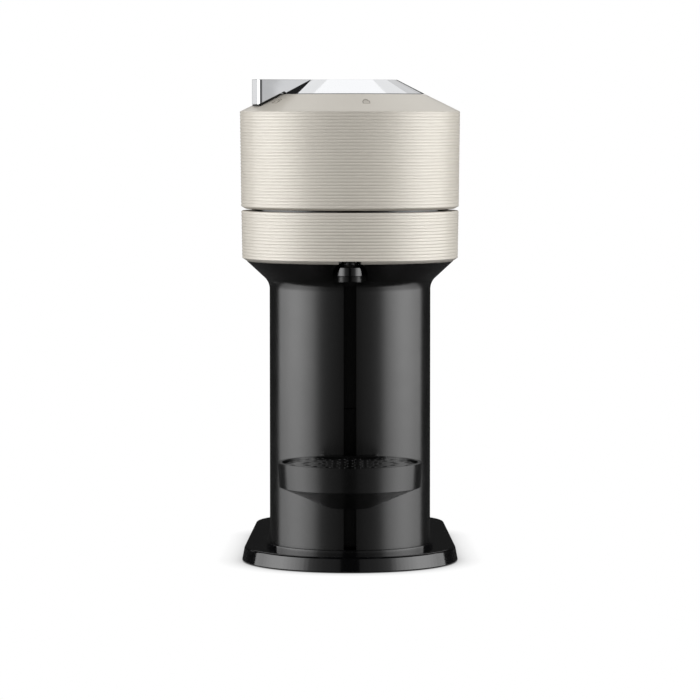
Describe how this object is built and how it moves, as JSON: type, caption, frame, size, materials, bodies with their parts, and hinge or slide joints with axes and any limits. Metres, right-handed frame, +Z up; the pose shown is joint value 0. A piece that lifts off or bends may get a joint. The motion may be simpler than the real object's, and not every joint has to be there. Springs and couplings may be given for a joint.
{
  "type": "pod coffee machine",
  "caption": "Slim pod coffee machine: ribbed drum head with a chrome lever ring, round column, sliding cup dish, stadium base, rear capsule container and water tank.",
  "frame": {"origin": "on the surface that the feet stand on, under the centre of the machine's bounding box", "axes": "+Z up, front (cup support) faces -Y, +X to the viewer's right from the front"},
  "size_m": [0.142, 0.429, 0.3114],
  "materials": {
    "drum_satin": "satin",
    "black_satin": "satin",
    "black_gloss": "gloss",
    "chrome": "polished",
    "steel": "brushed",
    "motor_can": "satin",
    "aluminium_cast": "cast",
    "rubber": "matt",
    "hose": "translucent silicone",
    "grey_nylon": "moulded",
    "circuit_board": "lacquered",
    "light_lens": "frosted",
    "clear_tank": "clear"
  },
  "bodies": {
    "root": {"rubber_feet": "rubber", "base_plate": "steel", "base_cover": "black_satin", "base_screws": "steel", "tank_dock": "black_satin", "dock_seal": "rubber", "cord_gland": "rubber", "column_shell": "black_satin", "slot_rail": "black_satin", "slot_rail_upper": "black_satin", "rear_panel": "black_satin", "coffee_outlet": "black_gloss", "lower_ring": "drum_satin", "brew_deck": "black_gloss", "deck_screws": "steel", "code_reader": "clear_tank", "latch_hooks": "steel", "cage_bearing": "steel", "centrifuge_motor": "motor_can", "motor_bracket": "steel", "drive_belt": "rubber", "coffee_collector": "black_gloss", "water_pump": "motor_can", "pump_mounts": "rubber", "flow_meter": "grey_nylon", "heater_block": "aluminium_cast", "thermostats": "aluminium_cast", "suction_hose": "hose", "pressure_hose": "hose", "brew_hose": "hose", "control_board": "circuit_board", "rear_deck": "black_satin", "hinge_bracket": "black_satin", "hinge_pins": "steel", "capsule_chute": "black_satin"},
    "cage": {"capsule_cage": "steel", "cage_pulley": "aluminium_cast"},
    "motor": {"motor_pulley": "aluminium_cast"},
    "head": {"head_shell": "drum_satin", "head_liner": "black_gloss", "head_core": "grey_nylon", "piercing_plate": "steel", "water_injector": "steel", "seal_ring": "rubber", "hinge_arms": "black_satin", "button_board": "circuit_board", "light_guide": "light_lens"},
    "button": {"brew_button": "chrome"},
    "lever": {"lever_ring": "chrome", "lever_guard": "black_gloss", "lock_ring": "grey_nylon"},
    "cup_support": {"drip_tray": "black_satin", "support_shoe": "black_satin"},
    "grid": {"drip_grid": "black_gloss"},
    "container": {"capsule_container": "black_gloss"},
    "tank": {"tank_body": "clear_tank"},
    "tank_lid": {"tank_lid": "black_satin"},
    "tank_valve": {"tank_valve": "grey_nylon"}
  },
  "joints": [
    {"name": "head_tilt", "type": "hinge", "parent": "root", "child": "head", "pos_m": [0, 0.0045, 0.222], "axis": [-1, 0, 0], "range_deg": [0, 50]},
    {"name": "lever_turn", "type": "hinge", "parent": "head", "child": "lever", "pos_m": [0, -0.0745, 0.305], "axis": [0, 0, 1], "range_deg": [0, 64]},
    {"name": "button_press", "type": "slide", "parent": "head", "child": "button", "axis": [0, 0, -1], "range_m": [0, 0.0015], "stiffness_N_per_m": 1000, "springref_m": -0.001},
    {"name": "cage_spin", "type": "hinge", "parent": "root", "child": "cage", "pos_m": [0, -0.0745, 0.2], "axis": [0, 0, 1], "continuous": true},
    {"name": "motor_spin", "type": "hinge", "parent": "root", "child": "motor", "pos_m": [0, -0.0295, 0.18], "axis": [0, 0, 1], "continuous": true},
    {"name": "cup_height", "type": "slide", "parent": "root", "child": "cup_support", "axis": [0, 0, 1], "range_m": [-0.026, 0.06]},
    {"name": "grid_lift", "type": "slide", "parent": "cup_support", "child": "grid", "axis": [0, 0, 1], "range_m": [0, 0.03]},
    {"name": "container_lift", "type": "slide", "parent": "root", "child": "container", "axis": [0, 0, -1], "range_m": [-0.19, 0]},
    {"name": "tank_lift", "type": "slide", "parent": "root", "child": "tank", "axis": [0, 0, 1], "range_m": [0, 0.12]},
    {"name": "lid_hinge", "type": "hinge", "parent": "tank", "child": "tank_lid", "pos_m": [0, 0.2105, 0.2742], "axis": [-1, 0, 0], "range_deg": [0, 100]},
    {"name": "valve_lift", "type": "slide", "parent": "tank", "child": "tank_valve", "axis": [0, 0, 1], "range_m": [0, 0.004], "stiffness_N_per_m": 200, "springref_m": -0.001}
  ],
  "couplings": [
    {"joint": "motor_spin", "follows": "cage_spin", "ratio": 3}
  ]
}
